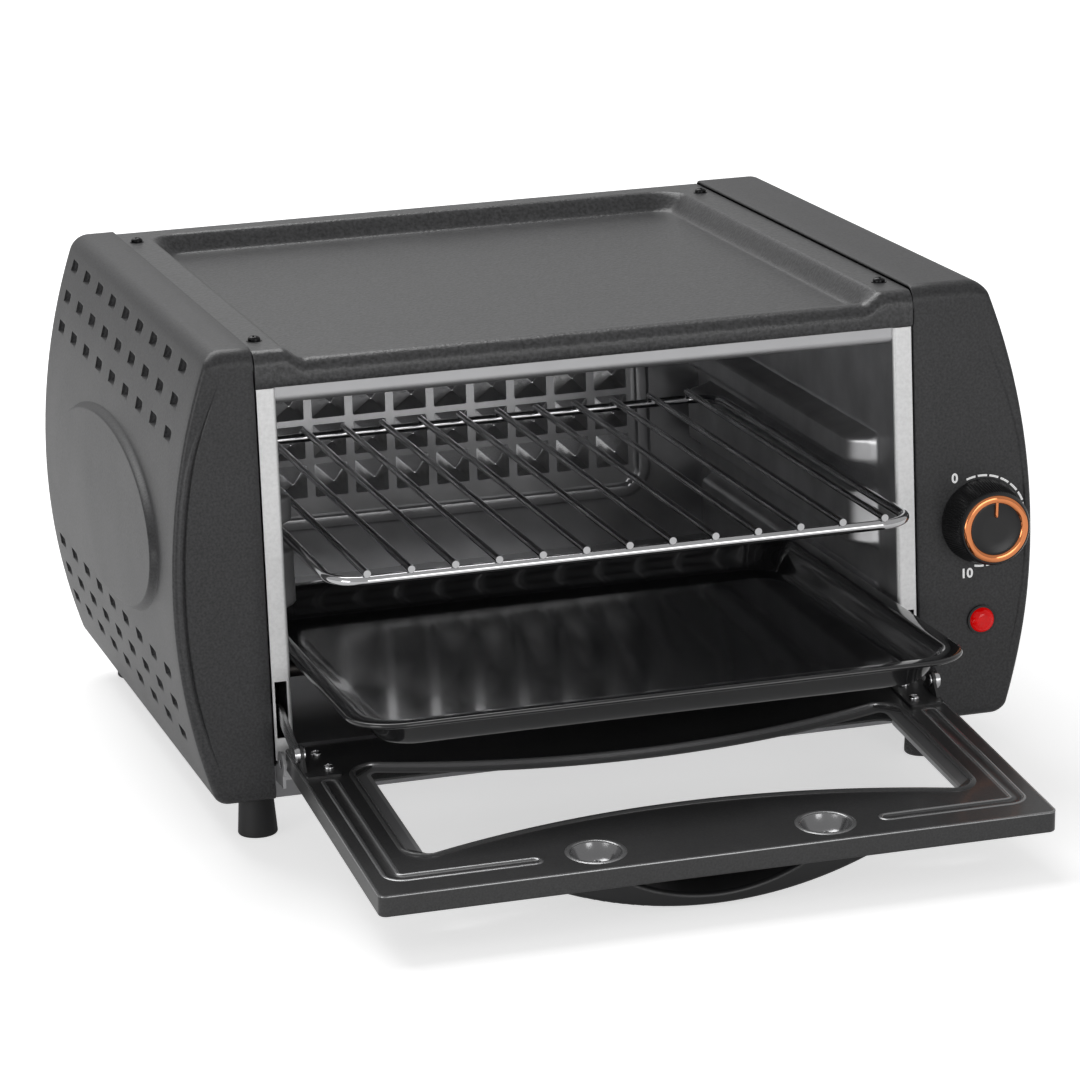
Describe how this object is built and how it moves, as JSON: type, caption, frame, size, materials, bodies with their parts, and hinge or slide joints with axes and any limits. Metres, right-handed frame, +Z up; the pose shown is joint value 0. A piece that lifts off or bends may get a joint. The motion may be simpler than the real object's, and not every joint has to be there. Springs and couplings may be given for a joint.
{
  "type": "electric tandoor",
  "caption": "Compact countertop electric tandoor with bowed side panels, drop-down glass door, sliding wire rack and baking tray, and a keep-warm pan on top.",
  "frame": {"origin": "middle of the bounding box, on the surface that the feet stand on", "axes": "+X to the right seen from the front, +Y from the front to the back, +Z up; the door drops down towards -Y"},
  "size_m": [0.362, 0.4346, 0.1977],
  "materials": {
    "black_texture_paint": "fine textured matte",
    "galvanised_steel": "satin",
    "black_rubber": "matte",
    "heater_sheath": "satin",
    "white_ceramic": "matte",
    "tempered_glass": "gloss",
    "black_enamel": "semi gloss",
    "black_plastic": "satin",
    "copper_trim": "satin",
    "chromed_wire": "polished",
    "tray_enamel": "gloss enamel",
    "red_lens": "translucent gloss",
    "zinc_hardware": "satin"
  },
  "bodies": {
    "oven": {"base_plate": "galvanised_steel", "cavity_back_panel": "galvanised_steel", "cavity_floor": "galvanised_steel", "cavity_left_wall": "galvanised_steel", "cavity_right_wall": "galvanised_steel", "cavity_roof": "galvanised_steel", "ceramic_bush_lower_back_left": "white_ceramic", "ceramic_bush_lower_back_right": "white_ceramic", "ceramic_bush_lower_front_left": "white_ceramic", "ceramic_bush_lower_front_right": "white_ceramic", "ceramic_bush_upper_back_left": "white_ceramic", "ceramic_bush_upper_back_right": "white_ceramic", "ceramic_bush_upper_front_left": "white_ceramic", "ceramic_bush_upper_front_right": "white_ceramic", "cord_grommet": "black_rubber", "foot_back_left": "black_rubber", "foot_back_right": "black_rubber", "foot_front_left": "black_rubber", "foot_front_right": "black_rubber", "header_rail": "galvanised_steel", "heating_element_lower_back": "heater_sheath", "heating_element_lower_front": "heater_sheath", "heating_element_upper_back": "heater_sheath", "heating_element_upper_front": "heater_sheath", "hinge_lug_left": "galvanised_steel", "hinge_lug_right": "galvanised_steel", "lamp_bezel": "black_plastic", "lamp_lens": "red_lens", "left_side_panel": "black_texture_paint", "rear_cover": "galvanised_steel", "right_side_panel": "black_texture_paint", "thermostat_body": "zinc_hardware", "top_plate": "black_texture_paint"},
    "door": {"door_glass": "tempered_glass", "door_handle": "black_plastic", "door_inner_panel": "black_enamel", "door_outer_panel": "black_enamel", "glass_clip_left": "galvanised_steel", "glass_clip_right": "galvanised_steel", "hinge_pin_left": "galvanised_steel", "hinge_pin_right": "galvanised_steel", "stay_bracket_left": "galvanised_steel", "stay_bracket_right": "galvanised_steel"},
    "stay_left": {"door_stay_left": "galvanised_steel"},
    "stay_right": {"door_stay_right": "galvanised_steel"},
    "rack": {"wire_rack": "chromed_wire"},
    "tray": {"baking_tray": "tray_enamel"},
    "knob": {"knob_body": "black_plastic", "knob_ring": "copper_trim", "thermostat_shaft": "zinc_hardware"}
  },
  "joints": [
    {"name": "door_hinge", "type": "hinge", "parent": "oven", "child": "door", "pos_m": [-0.00645, -0.06995, 0.0333], "axis": [-1, 0, 0], "range_deg": [-7.3, 95.5]},
    {"name": "stay_left_pivot", "type": "hinge", "parent": "door", "child": "stay_left", "pos_m": [-0.13655, -0.08888, 0.04213], "axis": [-1, 0, 0], "range_deg": [-95.5, 7.3]},
    {"name": "stay_right_pivot", "type": "hinge", "parent": "door", "child": "stay_right", "pos_m": [0.12365, -0.08888, 0.04213], "axis": [-1, 0, 0], "range_deg": [-95.5, 7.3]},
    {"name": "rack_slide", "type": "slide", "parent": "oven", "child": "rack", "axis": [0, 1, 0], "range_m": [-0.0036, 0.0451]},
    {"name": "tray_slide", "type": "slide", "parent": "oven", "child": "tray", "axis": [0, 1, 0], "range_m": [-0.0102, 0.1306]},
    {"name": "knob_turn", "type": "hinge", "parent": "oven", "child": "knob", "pos_m": [0.15645, -0.06245, 0.0987], "axis": [0, 1, 0], "range_deg": [-20, 191]}
  ],
  "couplings": [
    {"joint": "stay_left_pivot", "follows": "door_hinge", "ratio": -1},
    {"joint": "stay_right_pivot", "follows": "door_hinge", "ratio": -1},
    {"joint": "rack_slide", "follows": "door_hinge", "m_per_rad": 0.027},
    {"joint": "tray_slide", "follows": "door_hinge", "m_per_rad": 0.07829}
  ]
}
